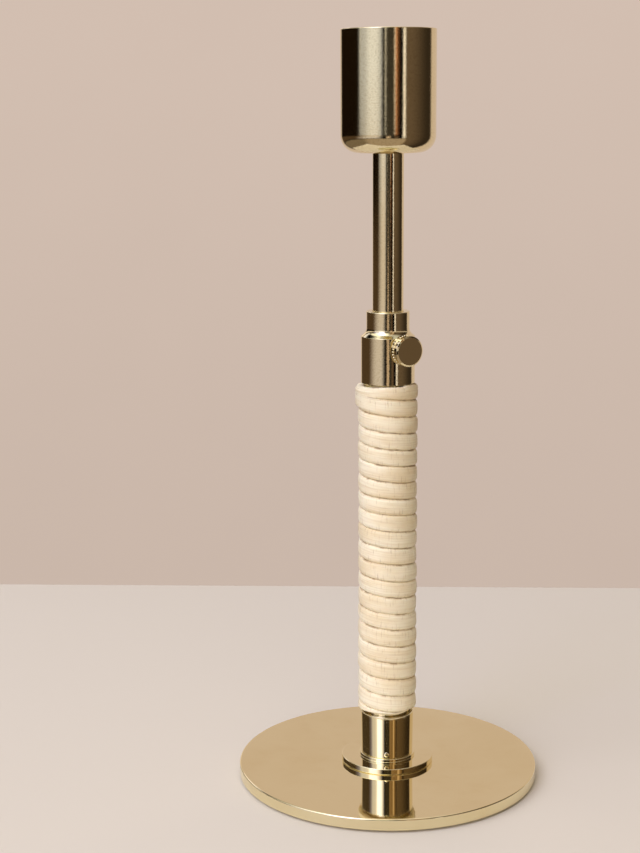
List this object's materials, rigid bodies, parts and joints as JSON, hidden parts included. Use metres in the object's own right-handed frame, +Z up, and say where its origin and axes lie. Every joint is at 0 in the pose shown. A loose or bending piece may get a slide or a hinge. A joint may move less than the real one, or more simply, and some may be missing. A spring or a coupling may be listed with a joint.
{
  "type": "candlestick",
  "caption": "Telescopic brass candlestick: round base, cane-wound stem, sliding rod with a deep candle cup, and a knurled thumb screw that holds the height.",
  "frame": {"origin": "centre of the felt pad's underside, where the candlestick stands", "axes": "+Z up along the stem, -Y the way the thumb screw points, +X completes a right-handed frame"},
  "size_m": [0.08, 0.08, 0.1965],
  "materials": {
    "polished_brass": "mirror polished, with fine wipe marks",
    "satin_brass": "polished with a fine grain turned round it",
    "cane": "natural split cane, cream to straw, with fine fibres",
    "felt": "dark brown wool felt",
    "steel": "plain zinc-plated steel fasteners",
    "nylon": "natural off-white nylon"
  },
  "bodies": {
    "stand": {"base_pad": "felt", "base_plate": "polished_brass", "base_flange": "polished_brass", "base_screw": "steel", "foot_plug": "satin_brass", "core_tube": "satin_brass", "foot_ferrule": "polished_brass", "foot_grub_screw": "steel", "cane_winding": "cane", "locking_collar": "satin_brass"},
    "rod_slider": {"rod_guide_bush": "nylon"},
    "candle_rod": {"lift_rod": "satin_brass", "rod_guide_washer": "steel", "rod_guide_screw": "steel", "candle_cup": "satin_brass", "cup_washer": "steel", "cup_screw": "steel"},
    "clamp_pad": {"thumb_screw_pad": "nylon"},
    "clamp_screw": {"thumb_screw": "polished_brass"}
  },
  "joints": [
    {"name": "height_slide", "type": "slide", "parent": "stand", "child": "rod_slider", "axis": [0, 0, 1], "range_m": [-0.04, 0.032]},
    {"name": "rod_swivel", "type": "hinge", "parent": "rod_slider", "child": "candle_rod", "pos_m": [0, 0, 0.064], "axis": [0, 0, 1], "continuous": true},
    {"name": "screw_travel", "type": "slide", "parent": "stand", "child": "clamp_pad", "axis": [0, -1, 0], "range_m": [0, 0.0014]},
    {"name": "screw_turn", "type": "hinge", "parent": "clamp_pad", "child": "clamp_screw", "pos_m": [0, -0.0094, 0.1164], "axis": [0, -1, 0], "range_deg": [0, 720]}
  ],
  "couplings": [
    {"joint": "screw_turn", "follows": "screw_travel", "rad_per_m": 8976}
  ]
}
